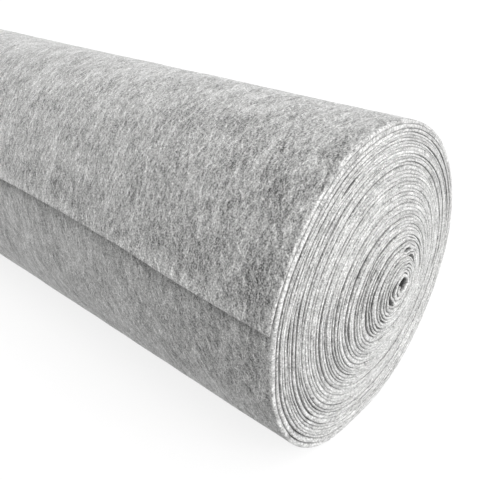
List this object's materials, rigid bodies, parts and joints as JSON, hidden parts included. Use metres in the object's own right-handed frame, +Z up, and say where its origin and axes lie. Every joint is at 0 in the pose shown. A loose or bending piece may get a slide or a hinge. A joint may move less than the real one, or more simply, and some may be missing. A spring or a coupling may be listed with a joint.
{
  "type": "roll of needle-punched geotextile",
  "caption": "Coreless roll of grey needle-punched felt lying on its side, with the free edge standing off a little and the turns slipped so that one end is proud and the other sunk.",
  "frame": {"origin": "bottom centre of the roll's box, on the flat strip that it lies on", "axes": "+X along the roll towards its proud end, +Z up; the free edge of the outer turn faces down on the -Y side"},
  "size_m": [1.0221, 0.3146, 0.3199],
  "materials": {
    "felt": "matt, fibrous, mottled grey"
  },
  "bodies": {
    "root": {"geotextile_roll": "felt"}
  },
  "joints": []
}
